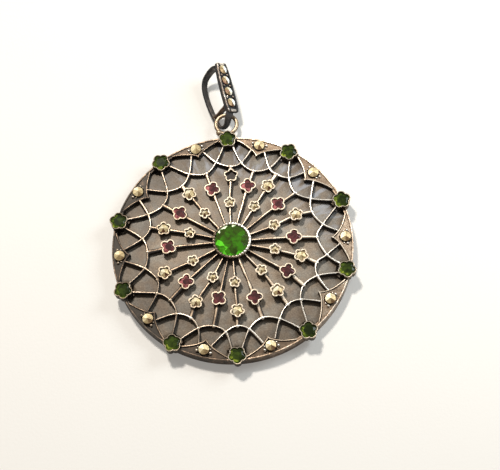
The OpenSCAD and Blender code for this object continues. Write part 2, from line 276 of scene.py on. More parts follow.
# Marcasites: name of the pieces, name of the CAD nodes, height, how much brighter their facets are
# painted
PYRITES = (
    ("rim_pyrite", "rim_marcasite", 0.58, 0.0),
    ("inner_pyrite", "inner_marcasite", 0.58, 0.06),
    ("outer_pyrite", "outer_marcasite", 0.63, 0.04),
)
# Painted light in the centre stone: direction, half its spread, least and most radius, tone
CENTRE_LIGHTS = [
    (-110, 14, 1.6, 2.5, 1.0), (-138, 16, 1.6, 2.5, 0.72), (-30, 20, 2.5, 3.0, 1.7),
    (10, 9, 2.5, 3.0, 1.5), (185, 48, 2.45, 3.0, 0.78), (165, 24, 1.6, 2.45, 0.3),
    (60, 50, 2.45, 3.0, 0.2), (0, 70, 1.6, 2.45, 0.26),
]
CENTRE_TURN = 21

# Directions seen from above, for painted light and shade: of light in the stones, of the lit and
# the shaded facets, of the bail's glints, of rubbing and sheen, and away from the light
UP = Vector((0, 0, 1))
GEM_FLASH = Vector((-0.75, -0.66))
LIGHT_SIDE = Vector((-0.7, 0.71))
DARK_SIDE = Vector((0.26, -0.97))
BAIL_GLINT = Vector((0.95, 0.3))
RUB_AND_SHEEN_SIDE = Vector((0.9, 0.43))
LEE_SIDE = Vector((0.57, -0.82))
LEE_SHADE = 1.3
LEE_GAIN = 3
LEE_START = 0.25
SEED = 7
draw = random.Random(SEED)
noise.seed_set(SEED)


# Places on the medallion

def at(angle, r, z=0.0):
    turn = math.radians(angle)
    return Vector((r * math.sin(turn), r * math.cos(turn), z))


def dome_z(r):
    """Height of the openwork's upper side at a radius."""
    return DOME_H - DOME_R + math.sqrt(DOME_R ** 2 - r * r)


def plate_z(r):
    """Height of the back plate's upper side at a radius."""
    share = max(0, r - PLATE_SHOULDER_R) / (PLATE_DOME_BASE - PLATE_SHOULDER_R)
    fall = (1 - math.cos(math.pi * share)) / 2
    return (dome_z(r) - PLATE_DROP) * (1 - fall) + PLATE_T * fall


def handmade(p):
    """A point moved sideways a little, the same way for all that meets there."""
    move = noise.noise_vector(Vector((p.x, p.y, 0)) / HAND_SIZE) * HAND_SHIFT
    return Vector((p.x + move.x, p.y + move.y, p.z))


def on_dome(p, lift=0.0):
    p = handmade(p)
    return Vector((p.x, p.y, dome_z(p.xy.length) + lift))


def spline(points, steps, closed=False):
    """Points of a smooth curve through the given points."""
    n = len(points)

    def pick(i):
        return points[i % n] if closed else points[min(max(i, 0), n - 1)]

    out = []
    for i in range(n if closed else n - 1):
        a, b, c, d = pick(i - 1), pick(i), pick(i + 1), pick(i + 2)
        for s in range(steps):
            t = s / steps
            out.append((2 * b + (c - a) * t + (2 * a - 5 * b + 4 * c - d) * t * t
                        + (3 * b - a - 3 * c + d) * t ** 3) / 2)
    return out if closed else out + [points[-1]]


def straight(a, b):
    count = max(2, math.ceil((b - a).length / WIRE_STEP))
    return [a.lerp(b, s / count) for s in range(count + 1)]


def turned(axis, degrees):
    return Matrix.Rotation(math.radians(degrees), 4, axis)


def clamped(share):
    return min(1, max(0, share))


# Mesh building

class Shape:
    """Points, their wear with painted shade in it, and the faces between them."""

    def __init__(self):
        self.points = []
        self.wear_and_shade = []
        self.faces = []

    def ring(self, points, wear_and_shade):
        start = len(self.points)
        self.points += [Vector(p) for p in points]
        self.wear_and_shade += list(wear_and_shade) if hasattr(wear_and_shade, "__len__") else [wear_and_shade] * len(points)
        return list(range(start, len(self.points)))

    def bridge(self, a, b, closed=True):
        n = len(a)
        for i in range(n if closed else n - 1):
            j = (i + 1) % n
            self.faces.append((a[i], a[j], b[j], b[i]))

    def bridges(self, rings, closed=True):
        for a, b in zip(rings, rings[1:]):
            self.bridge(a, b, closed)

    def rod(self, rings):
        """Joins the outlines along a rod and closes both its ends."""
        self.bridges(rings)
        self.cap(rings[0])
        self.cap(rings[-1])

    def fan(self, ring, middle):
        for i in range(len(ring)):
            self.faces.append((ring[i], ring[(i + 1) % len(ring)], middle))

    def cap(self, ring):
        self.faces.append(tuple(ring))

    def facet(self, points, tone):
        """A face with corners of its own, so that its tone stays its own as well."""
        self.cap(self.ring(points, tone))

    def band(self, a, b, tone):
        """Facets between two outlines."""
        for i in range(len(a)):
            j = (i + 1) % len(a)
            self.facet([a[i], a[j], b[j], b[i]], tone)

    def move(self, change, start=0):
        """Moves the points from the given one on."""
        self.points[start:] = [change(p) for p in self.points[start:]]


def lee(across, share):
    """Painted shade: how much darker a wire is made where it is turned from the light, at a share
    of its half.
    """
    return LEE_SHADE * clamped(LEE_GAIN * across.xy.dot(LEE_SIDE) * share - LEE_START)


def sweep(shape, path, ups, section, closed=False, widths=None, rubs=None, shaded=False):
    """Carries an outline of (across, up, wear) rows along a path, wider or more worn in places,
    with painted shade on the side turned from the light where shaded.
    """
    n = len(path)
    half = max(x for x, _, _ in section)
    rings = []
    for i, p in enumerate(path):
        before = path[i - 1] if closed or i > 0 else p
        after = path[(i + 1) % n] if closed or i < n - 1 else p
        along = (after - before).normalized()
        across = along.cross(ups[i]).normalized()
        up = across.cross(along)
        wide = widths[i] if widths else 1.0
        rub = rubs[i] if rubs else 0
        wear_and_shade = [w + rub - (lee(across, x / half) if shaded else 0) for x, _, w in section]
        rings.append(shape.ring([p + across * x * wide + up * y for x, y, _ in section], wear_and_shade))
    if closed:
        shape.bridges(rings + rings[:1])
    else:
        shape.rod(rings)


def revolve(shape, rows, centre=Vector((0, 0, 0)), count=96, closed=True, change=None):
    """Turns rows of (radius, height, wear) round a vertical axis. A radius of 0 is one point."""
    rings = []
    for r, z, wear_and_shade in rows:
        if r == 0:
            rings.append(shape.ring([centre + Vector((0, 0, z))], wear_and_shade))
            continue
        points = [centre + at(360 * s / count, r, z) for s in range(count)]
        rings.append(shape.ring([change(p) for p in points] if change else points, wear_and_shade))
    for a, b in zip(rings, rings[1:] + rings[:1] if closed else rings[1:]):
        if len(a) > 1 and len(b) > 1:
            shape.bridge(a, b)
        elif len(a) + len(b) > 2:
            one, many = (a, b) if len(a) == 1 else (b, a)
            shape.fan(many, one[0])


def ball(shape, centre, r, height=None, wear_and_shade=1.0, count=10, rings=6):
    """A round or flattened bead, with painted shade at its side and under it."""
    height = height or r
    rows = [(0, height, wear_and_shade)]
    for s in range(1, rings):
        a = math.pi * s / rings
        side = BEAD_SIDE_SHADE + (1 - BEAD_SIDE_SHADE) * math.cos(a / 1.6)
        rows.append((r * math.sin(a), height * math.cos(a), wear_and_shade * side))
    rows.append((0, -height, wear_and_shade * BEAD_UNDER_SHADE))
    revolve(shape, rows, Vector(centre), count, closed=False)


def link(name, data):
    """A new object of the scene that holds the data."""
    obj = bpy.data.objects.new(name, data)
    bpy.context.scene.collection.objects.link(obj)
    return obj


def piece(shape, name, material, nodes, flat=False):
    """Makes the shape a piece of the medallion that stands for CAD nodes."""
    mesh = bpy.data.meshes.new(name)
    mesh.from_pydata([p * MM for p in shape.points], [], shape.faces)
    wear_and_shade = mesh.attributes.new("wear_and_shade", "FLOAT", "POINT")
    wear_and_shade.data.foreach_set("value", shape.wear_and_shade)
    work = bmesh.new()
    work.from_mesh(mesh)
    bmesh.ops.recalc_face_normals(work, faces=work.faces)
    work.to_mesh(mesh)
    work.free()
    for face in mesh.polygons:
        face.use_smooth = not flat
    if not flat:
        mesh.set_sharp_from_angle(angle=math.radians(SHARP_ANGLE))
    mesh.materials.append(material)
    obj = link(name, mesh)
    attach(obj, "root")
    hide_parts(*nodes)
    return obj


def frame_piece(shape, name, material):
    piece(shape, name, material, ["openwork_frame"])


def weld(obj, reach=0.002):
    """Joins the corners that faces share. Each face keeps, as its tone, its corners' wear and
    painted shade.
    """
    work = bmesh.new()
    work.from_mesh(obj.data)
    wear_and_shade = work.verts.layers.float["wear_and_shade"]
    tone = work.faces.layers.float.new("tone")
    for face in work.faces:
        face[tone] = sum(corner[wear_and_shade] for corner in face.verts) / len(face.verts)
    bmesh.ops.remove_doubles(work, verts=work.verts, dist=reach * MM)
    bmesh.ops.recalc_face_normals(work, faces=work.faces)
    work.to_mesh(obj.data)
    work.free()


# Materials

# Painted light: the silver is made brighter towards the upper right and darker towards the left, as
# the light falls: change of the wear for each metre
PAINTED_LIGHT_SIDE = (19.0, 1.0, 0.0)
PAINTED_LIGHT_MOST = 0.25
PAINTED_LIGHT_LEAST = -0.34
# The silver's patches, blotches and grain: size, detail, how much they shift the wear
SILVER_NOISE = ((4.0, 2.0, 0.7), (0.9, 4.0, 0.8), (0.16, 2.0, 0.4))
# Painted reflections: bluish streaks on the plate near its upper right rim. Where they start, in
# metres along a direction and from the centre, and the gain from there on. Their width is in
# thousandths of the radius.
REFLECTION_SIDE = (0.45, 0.89, 0.0)
REFLECTION_UP = (0.004, 120)
REFLECTION_OUT = (0.012, 250)
REFLECTION_W = 90
REFLECTION_SHARE = 0.6
PAINTED_REFLECTION_COLOUR = (0.29, 0.3, 0.33)
# Painted shade: the plate is darker near its rim, where the rim and the panels shade it, and
# towards the upper left
PAINTED_SHADE_SIDE = (-0.3, 0.95, 0.0)
PER_DISC = 50


class Look:
    """The node tree of a material, or of the world, with its main shader."""

    def __init__(self, name, kind="materials", shader="Principled BSDF", place="Object"):
        self.owner = getattr(bpy.data, kind).new(name)
        self.owner.use_nodes = True
        self.tree = self.owner.node_tree
        self.shader = self.tree.nodes[shader]
        self.place = self.add("ShaderNodeTexCoord").outputs[place]

    def add(self, kind, inputs=None, **settings):
        node = self.tree.nodes.new(kind)
        for key, value in settings.items():
            setattr(node, key, value)
        for key, value in (inputs or {}).items():
            self.join(node.inputs[key], value)
        return node

    def join(self, socket, value):
        if isinstance(value, bpy.types.NodeSocket):
            self.tree.links.new(value, socket)
        elif isinstance(value, tuple) and len(value) == 3 and socket.type == "RGBA":
            socket.default_value = (*value, 1)
        else:
            socket.default_value = value

    def set(self, **values):
        for key, value in values.items():
            self.join(self.shader.inputs[key.replace("_", " ")], value)

    def wear_and_shade(self, name="wear_and_shade"):
        return self.add("ShaderNodeAttribute", attribute_name=name).outputs["Fac"]

    def noise(self, size, detail=3.0, rough=0.55, place=None):
        """Noise from 0 to 1 whose blotches are about size millimetres."""
        return self.add("ShaderNodeTexNoise", {
            "Vector": place or self.place, "Scale": 1 / (size * MM),
            "Detail": detail, "Roughness": rough,
        }).outputs["Fac"]

    def math(self, operation, a, b, clamp=False):
        node = self.add("ShaderNodeMath", {0: a, 1: b}, operation=operation, use_clamp=clamp)
        return node.outputs[0]

    def total(self, first, *rest, clamp=False):
        for value in rest:
            first = self.math("ADD", first, value, clamp and value is rest[-1])
        return first

    def times(self, a, b, clamp=False):
        return self.math("MULTIPLY", a, b, clamp)

    def sway(self, value, amount):
        """A value from 0 to 1 as a shift to either side of its middle, times amount."""
        return self.times(self.math("SUBTRACT", value, 0.5), amount)

    def beyond(self, value, start, gain):
        """How far a value is past a start, times gain, from 0 to 1."""
        return self.times(self.math("SUBTRACT", value, start), gain, clamp=True)

    def direction(self, operation, *other):
        """The place put through a vector operation."""
        inputs = dict(enumerate([self.place, *other]))
        return self.add("ShaderNodeVectorMath", inputs, operation=operation).outputs

    def along(self, side):
        """How far the place lies along a direction."""
        return self.direction("DOT_PRODUCT", side)["Value"]

    def ramp(self, value, stops):
        """Colours or greys along a value, from rows of (place, colour)."""
        node = self.add("ShaderNodeValToRGB", {"Fac": value})
        while len(node.color_ramp.elements) < len(stops):
            node.color_ramp.elements.new(0.5)
        for element, (where, colour) in zip(node.color_ramp.elements, stops):
            element.position = where
            element.color = (*(colour if isinstance(colour, tuple) else [colour] * 3), 1)
        return node.outputs["Color"]

    def mix(self, share, a, b, blend="MIX"):
        node = self.add("ShaderNodeMix", data_type="RGBA", blend_type=blend)
        for key, value in (("Factor", share), ("A", a), ("B", b)):
            self.join(node.inputs[key], value)
        return node.outputs["Result"]

    def tinted(self, a, b):
        return self.mix(1.0, a, b, "MULTIPLY")

    def bump(self, height, depth):
        inputs = {"Height": height, "Distance": depth * MM, "Strength": 1.0}
        self.set(Normal=self.add("ShaderNodeBump", inputs).outputs["Normal"])


def silver(name, bright, mid, brown, dark, patina, polish):
    """Worn silver: bright where the wear is high, coppery and then near black in the hollows. Its
    wear holds painted shade, and it is painted brighter towards the upper right as the light falls.
    """
    look = Look(name)
    noises = [look.noise(size, detail) for size, detail, _ in SILVER_NOISE]
    uneven = [look.sway(value, row[2]) for value, row in zip(noises, SILVER_NOISE)]
    side = look.math("MAXIMUM", look.along(PAINTED_LIGHT_SIDE), PAINTED_LIGHT_LEAST)
    side = look.math("MINIMUM", side, PAINTED_LIGHT_MOST)
    worn_and_lit = look.total(look.math("SUBTRACT", look.wear_and_shade(), patina), *uneven, side, clamp=True)
    look.set(
        Base_Color=look.ramp(worn_and_lit, [(0.0, dark), (0.32, brown), (0.62, mid), (0.88, bright)]),
        Metallic=look.ramp(worn_and_lit, [(0.0, 0.2), (0.5, 0.75), (0.9, 0.8)]),
        Roughness=look.ramp(worn_and_lit, [(0.0, 0.7), (0.4, 0.45), (0.9, polish)]),
    )
    _, blotch, grain = noises
    look.bump(look.total(grain, look.times(blotch, 2.0)), depth=0.015)
    return look.owner


def plate_silver():
    """Matt tarnished sheet, mottled warm brown and grey, with painted shade near its rim and
    towards the upper left, and painted bluish reflections in streaks near the upper right rim.
    """
    look = Look("tarnished_plate")
    cloud = look.noise(size=5.0, detail=4.0)
    mottle = look.noise(size=0.9, detail=6.0, rough=0.75)
    speck = look.noise(size=0.25, detail=4.0, rough=0.7)
    tone = look.total(look.times(cloud, 0.3), look.times(mottle, 0.3), look.times(speck, 0.4))
    colour = look.ramp(tone, [
        (0.36, (0.1, 0.078, 0.058)), (0.46, (0.19, 0.155, 0.12)),
        (0.54, (0.25, 0.21, 0.165)), (0.64, (0.38, 0.33, 0.265)),
    ])
    tint = look.ramp(look.noise(2.4), [(0.4, (1.02, 0.92, 0.82)), (0.62, (0.94, 0.97, 1.0))])
    far = look.direction("LENGTH")["Value"]
    outward = look.direction("NORMALIZE")["Vector"]
    reflection_streak = look.ramp(look.noise(REFLECTION_W, place=outward), [(0.5, 0.0), (0.6, 1.0)])
    reach = look.times(look.beyond(far, *REFLECTION_OUT),
                       look.beyond(look.along(REFLECTION_SIDE), *REFLECTION_UP))
    # Painted shade near the rim and towards the upper left
    rim_shade = look.ramp(look.times(far, PER_DISC), [(0.62, 1.0), (0.9, 0.72)])
    side_shade = look.ramp(look.times(look.along(PAINTED_SHADE_SIDE), PER_DISC), [(0.15, 1.0), (0.8, 0.74)])
    plain = look.tinted(look.tinted(colour, tint), look.tinted(rim_shade, side_shade))
    rubbed_and_sheen = look.times(look.times(reflection_streak, reach), REFLECTION_SHARE)
    look.set(
        Base_Color=look.mix(rubbed_and_sheen, plain, PAINTED_REFLECTION_COLOUR),
        Metallic=0.15,
        Roughness=look.ramp(mottle, [(0.3, 0.5), (0.7, 0.7)]),
    )
    look.bump(look.total(mottle, look.times(speck, 0.7)), depth=0.05)
    return look.owner


def gem(name, deep, light, flash, glint, painted_glow, cells=0.7, broken=0.5, specular=0.16):
    """A stone whose facets are painted from deep to a flash and a glint of light, broken up by
    those under them, and which glows a little as painted light.
    """
    look = Look(name)
    inputs = {"Vector": look.place, "Scale": 1 / (cells * MM)}
    under = look.add("ShaderNodeTexVoronoi", inputs, feature="F1").outputs["Color"]
    tone = look.total(look.wear_and_shade("tone"), look.sway(under, broken), look.sway(look.noise(0.6), 0.6))
    tone = look.times(tone, 0.5, clamp=True)
    colour = look.ramp(tone, [
        (0.08, deep), (0.35, light), (0.48, flash), (0.62, flash), (0.72, glint),
    ])
    look.set(Base_Color=colour, Roughness=0.1, IOR=1.5, Specular_IOR_Level=specular,
             Coat_Weight=specular / 2, Coat_Roughness=0.03, Emission_Color=colour,
             Emission_Strength=painted_glow)
    return look.owner


def marcasite():
    """Polished pyrite facets, pale brass with small pits. The brightest facets are painted near
    white and glow a little, as painted glints.
    """
    look = Look("marcasite")
    blotch = look.noise(0.45)
    tone = look.times(look.total(look.wear_and_shade("tone"), look.sway(blotch, 0.5)), 0.5, clamp=True)
    look.set(
        Base_Color=look.ramp(tone, [
            (0.02, (0.12, 0.04, 0.02)), (0.15, (0.36, 0.25, 0.12)), (0.3, (0.64, 0.51, 0.28)),
            (0.42, (0.86, 0.77, 0.54)), (0.6, (0.93, 1.0, 1.0)),
        ]),
        Emission_Color=(0.9, 1.0, 1.0),
        Emission_Strength=look.ramp(tone, [(0.5, 0.0), (0.65, 0.45)]),
        Metallic=0.55,
        Roughness=look.ramp(blotch, [(0.3, 0.34), (0.7, 0.46)]),
    )
    look.bump(look.noise(size=0.12, detail=2.0), depth=0.01)
    return look.owner


SILVER = silver(
    "worn_silver", (0.76, 0.7, 0.62), (0.5, 0.4, 0.3), (0.16, 0.11, 0.07),
    (0.02, 0.017, 0.016), patina=0.06, polish=0.36)
CUP_SILVER = silver(
    "cup_silver", (0.47, 0.4, 0.31), (0.37, 0.29, 0.2), (0.19, 0.14, 0.09),
    (0.04, 0.03, 0.024), patina=0.05, polish=0.5)
TAN_SILVER = silver(
    "tan_silver", (0.72, 0.62, 0.5), (0.46, 0.35, 0.245), (0.18, 0.12, 0.075),
    (0.02, 0.015, 0.012), patina=0.22, polish=0.45)
RIM_SILVER = silver(
    "rim_silver", (0.92, 0.83, 0.72), (0.4, 0.29, 0.2), (0.15, 0.1, 0.065),
    (0.05, 0.04, 0.03), patina=0.14, polish=0.24)
BAIL_SILVER = silver(
    "bail_silver", (0.85, 0.78, 0.7), (0.3, 0.23, 0.18), (0.07, 0.06, 0.055),
    (0.018, 0.019, 0.021), patina=0.34, polish=0.24)
COPPER_SILVER = silver(
    "coppery_silver", (0.46, 0.34, 0.25), (0.23, 0.155, 0.11), (0.09, 0.062, 0.048),
    (0.03, 0.025, 0.023), patina=0.3, polish=0.4)
RING_SILVER = silver(
    "ring_silver", (0.62, 0.51, 0.38), (0.43, 0.33, 0.225), (0.2, 0.14, 0.085),
    (0.07, 0.053, 0.042), patina=0.14, polish=0.42)
PLATE_SILVER = plate_silver()
GREEN = gem(
    "green_gem", (0.03, 0.05, 0.01), (0.045, 0.2, 0.01), (0.12, 0.62, 0.03),
    (0.8, 0.95, 0.62), painted_glow=0.08, cells=1.0, broken=0.4, specular=0.02)
DARK_GREEN = gem(
    "dark_green_gem", (0.012, 0.018, 0.005), (0.05, 0.078, 0.011), (0.27, 0.34, 0.04),
    (0.6, 0.68, 0.36), painted_glow=0.03)
RED = gem(
    "red_gem", (0.05, 0.022, 0.022), (0.16, 0.048, 0.05), (0.44, 0.15, 0.15),
    (0.95, 0.8, 0.8), painted_glow=0.03)
MARCASITE = marcasite()


# Openwork

def wire_section(width, thick):
    """Outline across a wire: dark sides and a worn round top."""
    half = width / 2
    crown = min(WIRE_CROWN, half)
    side = [
        (half * 0.8, -thick, 0.0), (half, -thick * 0.6, 0.0), (half, -crown - 0.08, 0.0),
        (half, -crown, WIRE_SIDE_WEAR),
    ]
    rows = side[:]
    for s in range(1, CROWN_STEPS):
        a = math.pi * s / CROWN_STEPS
        rows.append((half * math.cos(a), crown * (math.sin(a) - 1),
                     WIRE_SIDE_WEAR + WIRE_TOP_WEAR * math.sin(a) ** 2))
    return rows + [(-x, y, wear_and_shade) for x, y, wear_and_shade in reversed(side)]


def wire(shape, points, width=WIRE_W, lift=0.0, spread=0.0):
    """A wire along points, laid on the dome, a little uneven in width as filed by hand, with
    painted shade on its side turned from the light.
    """
    path = [on_dome(p, lift) for p in points]
    widths = [1 + WIDTH_PLAY * noise.noise(p / WIDTH_SIZE + WIDTH_SEED)
              + spread * (p.xy.length - RAY_SPREAD_R) for p in path]
    section = wire_section(width, WIRE_T)
    sweep(shape, path, [UP] * len(path), section, widths=widths, shaded=True)


def anchor(i, side):
    """Where arc i starts, side 1, or ends, side -1. Even arcs join panels, odd arcs collets."""
    places, (turn, r) = (RIM_STONES, COLLET_END) if i % 2 else (PANELS, PANEL_END)
    k = (i + 1) // 2 - (side > 0)
    return at(places[k % len(places)][0] + side * turn, r)


def lattice():
    shape = Shape()
    for i, row in enumerate(ARCS):
        stops = [anchor(i, 1), at(*ARCS[i - 1][2:]), at(*row[:2]), at(*row[2:]), anchor(i, -1)]
        wire(shape, spline(stops, ARC_STEPS), lift=-LAYER_STEP * (i % 2))
        for place in (row[:2], row[2:]):
            ball(shape, on_dome(at(*place), -JOINT_SINK), JOINT_R, JOINT_H, wear_and_shade=0.95, count=12)
    frame_piece(shape, "lattice_arcs", SILVER)


def ray_stretches(stops):
    """The stretches of a ray between (angle, radius, clearance) stops that it leaves open."""
    for (angle_a, r_a, gap_a), (angle_b, r_b, gap_b) in zip(stops, stops[1:]):
        a, b = at(angle_a, r_a), at(angle_b, r_b)
        along = (b - a).normalized()
        yield straight(a + along * gap_a, b - along * gap_b)


def rays():
    """Rays from the bezel through their cups to the bottoms of the lattice arcs."""
    shape = Shape()
    pale = [[(*inner, INNER_GAP), (*outer, OUTER_GAP)]
            for inner, outer in zip(INNER_CUPS, OUTER_CUPS)]
    red = [[(*place, RED_GAP)] for place in RED_CUPS]
    for cups, arcs in ((pale, ARCS[::2]), (red, ARCS[1::2])):
        for stops, arc in zip(cups, arcs):
            for points in ray_stretches([(stops[0][0], RAY_START_R, 0), *stops, (*arc[:2], 0)]):
                wire(shape, points, RAY_W, -2 * LAYER_STEP, RAY_SPREAD)
    frame_piece(shape, "rays", TAN_SILVER)


def panel_r(tip_r, share):
    """Radius of a panel's inner edge at a share of its half angle."""
    return tip_r + (PANEL_SIDE_R - tip_r) * abs(share) ** PANEL_CURVE


def panel_edges():
    """Wires along both inner edges of each panel. The left one reaches to its tip."""
    shape = Shape()
    shares = [(s / PANEL_EDGE_STEPS) ** PANEL_EDGE_BUNCHING for s in range(PANEL_EDGE_STEPS + 1)]
    for angle, tip_r in PANELS:
        for side in (-1, 1):
            tip = [at(angle, tip_r - PANEL_TIP)] if side < 0 else []
            points = [at(angle + side * PANEL_HALF_ANGLE * s, panel_r(tip_r, s)) for s in shares]
            wire(shape, tip + points, PANEL_EDGE_W, LAYER_STEP)
    frame_piece(shape, "panel_edges", TAN_SILVER)


def panel_floors():
    """Panel sheets, sunk a little, each with a pit for its marcasite."""
    across, out = 56, 22
    shape = Shape()
    for angle, tip_r in PANELS:
        middle = at(angle, RIM_MARCASITE_R)
        top, under = [], []
        for i in range(across + 1):
            share = 2 * i / across - 1
            inner = panel_r(tip_r, share)
            for rows, drop in ((top, PANEL_SINK), (under, PANEL_SINK + PANEL_FLOOR_T)):
                points, wear_and_shade = [], []
                for j in range(out + 1):
                    r = inner + (PANEL_SIDE_R + PANEL_UNDER_RIM - inner) * j / out
                    p = at(angle + share * PANEL_HALF_ANGLE, r)
                    pit = clamped((PIT_R - (p - middle).length) / PIT_SLOPE) if rows is top else 0
                    points.append(on_dome(p, -drop - PIT_DEPTH * pit))
                    wear_and_shade.append(0.05 if pit > 0 else 0.4)
                rows.append(shape.ring(points, wear_and_shade))
        shape.bridges(top, closed=False)
        shape.bridges(under, closed=False)
        for end in (0, -1):
            shape.bridge(top[end], under[end], closed=False)
            shape.bridge([row[end] for row in top], [row[end] for row in under], closed=False)
    frame_piece(shape, "panel_floors", RIM_SILVER)


def rim_grains():
    """Beads raised at both sides of each rim marcasite to hold it."""
    shape = Shape()
    for angle, _ in PANELS:
        for side in (-1, 1):
            for turn, r, size in GRAINS:
                p = on_dome(at(angle + side * turn, r))
                ball(shape, p, size * draw.uniform(0.9, 1.1), size)
    frame_piece(shape, "rim_grains", SILVER)


def rim():
    """The wall round the case, with its raised edge and rounded corners."""
    shape = Shape()
    inner = RIM_R - RIM_WALL
    edge = RIM_R - EDGE_W
    rows = [
        (inner, 0, 0.2), (RIM_R - 0.06, 0, 0.3), (RIM_R, 0.07, 0.3), (RIM_R, 1.1, 0.34),
        (RIM_R, 1.95, 0.42), (RIM_R, RIM_H - 0.06, 0.6), (RIM_R - 0.05, RIM_H, 0.66),
        (edge + 0.05, RIM_H, 0.62), (edge, RIM_H - 0.06, 0.45), (edge, RIM_TOP, 0.2),
        (inner, RIM_TOP, 0.5), (inner, RIM_TOP - 0.2, 0.1),
    ]
    revolve(shape, rows, count=300)
    frame_piece(shape, "rim_wall", RIM_SILVER)


# Cups, collets and the centre bezel

def flower(reach, share, petals, hole, inset, count=80):
    """Distances from the centre to a flower's outline, moved in by inset but not past its hole."""
    petal = reach * share
    far = reach - petal
    r = petal - inset
    pitch = 2 * math.pi / petals
    out = []
    for i in range(count):
        off = (2 * math.pi * i / count + pitch / 2) % pitch - pitch / 2
        side = far * math.sin(off)
        lobe = far * math.cos(off) + math.sqrt(r * r - side * side) if abs(side) < r else 0
        out.append(max(lobe, hole))
    return out


def cup(shape, centre, turn, form, low, top, floor, wall, filled=False):
    """A flower cup with an edge worn bright, its petals filled round the stone or hollow."""
    rows = [
        (low, 0.14, 0.0), (top - 0.3, 0.05, 0.12), (top - 0.1, 0.0, 0.4), (top - 0.03, 0.02, 0.9),
        (top, wall * 0.4, 1.0), (top - 0.02, wall * 0.8, 0.95), (top - 0.1, wall, 0.6),
    ]
    if filled:
        rows += [
            (top - 0.16, wall + 0.05, 0.3), (top - 0.19, ROUND_HOLE, 0.22),
            (floor, ROUND_HOLE, 0.0),
        ]
    else:
        rows.append((floor, wall + 0.05, 0.0))
    rings = []
    for z, inset, wear_and_shade in rows:
        points = []
        outline = flower(*form, inset)
        for i, r in enumerate(outline):
            p = centre + at(turn + 360 * i / len(outline), r)
            dent = CUP_DENT * noise.noise(p * CUP_DENT_PITCH) if z > top - 0.2 else 0
            points.append(Vector((p.x, p.y, z + dent)))
        rings.append(shape.ring(points, wear_and_shade))
    shape.bridges(rings)
    shape.fan(rings[-1], shape.ring([(centre.x, centre.y, floor)], 0.0)[0])
    shape.cap(rings[0])


def flower_cups(name, places, turns, form, filled):
    """Cups at places, each turned, with their petals filled from the given one on."""
    shape = Shape()
    for k, ((angle, r), turn) in enumerate(zip(places, turns)):
        z = dome_z(r)
        cup(shape, handmade(at(angle, r)), turn, form, z - WIRE_T + CUP_FOOT, z + CUP_RISE,
            z + CUP_RISE - CUP_DEPTH, CUP_WALL, k >= filled)
    frame_piece(shape, name, CUP_SILVER)


def collets():
    shape = Shape()
    for angle, r in RIM_STONES:
        cup(shape, at(angle, r), angle, COLLET_FORM, COLLET_BASE, COLLET_H, COLLET_FLOOR,
            COLLET_WALL)
    frame_piece(shape, "collets", CUP_SILVER)


def bezel():
    """The centre stone's collar, with beads that are rubbed into one towards the right and painted
    brighter there as a sheen.
    """
    shape = Shape()
    inner = BEZEL_R - BEZEL_WALL
    rows = [
        (0, BEZEL_BASE, 0), (BEZEL_R - 0.15, BEZEL_BASE, 0),
        (BEZEL_R - 0.05, BEZEL_BASE + 0.4, 0.1), (BEZEL_R - 0.02, BEZEL_H - 0.45, 0.5),
        (BEZEL_R - 0.06, BEZEL_H - 0.22, 0.8), (BEZEL_R - 0.16, BEZEL_H - 0.16, 0.75),
        (inner + 0.06, BEZEL_H - 0.2, 0.3), (inner, BEZEL_H - 0.35, 0.05),
        (inner, BEZEL_FLOOR, 0), (0, BEZEL_FLOOR, 0),
    ]
    revolve(shape, rows, closed=False)
    for s in range(BEZEL_BEADS):
        angle = 360 * s / BEZEL_BEADS + draw.uniform(-1, 1)
        size = draw.uniform(*BEAD_R)
        # Towards the right the beads are stretched into one and given a painted sheen
        rubbed_and_sheen = at(angle, 1).xy.dot(RUB_AND_SHEEN_SIDE)
        centre = at(angle, BEZEL_R - BEAD_INSET, BEZEL_H - BEAD_INSET)
        start = len(shape.points)
        ball(shape, centre, size, BEAD_H, BEAD_WEAR + BEAD_RUB_AND_SHEEN * rubbed_and_sheen)
        along = at(angle + 90, 1)
        stretch = BEAD_STRETCH * clamped((rubbed_and_sheen - STRETCH_FROM) / STRETCH_OVER)
        shape.move(lambda p: p + along * along.dot(p - centre) * stretch, start)
    frame_piece(shape, "bezel", SILVER)


# Back plate

def uneven(p):
    """A point of the plate's upper side with its dents, and hollowed under the collets."""
    dent = sum(height * noise.noise(p / size) for height, size in PLATE_DENTS)
    away = min((p.xy - at(*place).xy).length for place in RIM_STONES)
    share = clamped((away - COLLET_CLEAR) / HOLLOW_SLOPE)
    hollow = COLLET_BASE - HOLLOW_DROP
    return Vector((p.x, p.y, hollow + (p.z + dent - hollow) * share))


def uneven_edge(p):
    """The same for points of the upper side's edge alone."""
    return uneven(p) if p.z > 1 and p.xy.length > PLATE_R - 0.1 else p


def back_plate():
    shape = Shape()
    top_radii = [PLATE_R * i / 72 for i in range(73)]
    under_radii = [PLATE_DOME_BASE * i / 40 for i in range(40, -1, -1)]
    top = [(r, dome_z(r) - PLATE_DROP, 0.4) for r in top_radii]
    under = [(r, plate_z(r) - PLATE_T, 0.3) for r in under_radii]
    revolve(shape, top, count=PLATE_SIDES, closed=False, change=uneven)
    side = [top[-1], (PLATE_R, 0, 0.5)]
    revolve(shape, side + under, count=PLATE_SIDES, closed=False, change=uneven_edge)
    weld(piece(shape, "back_sheet", PLATE_SILVER, ["back_plate"]), PLATE_WELD)


# Stones

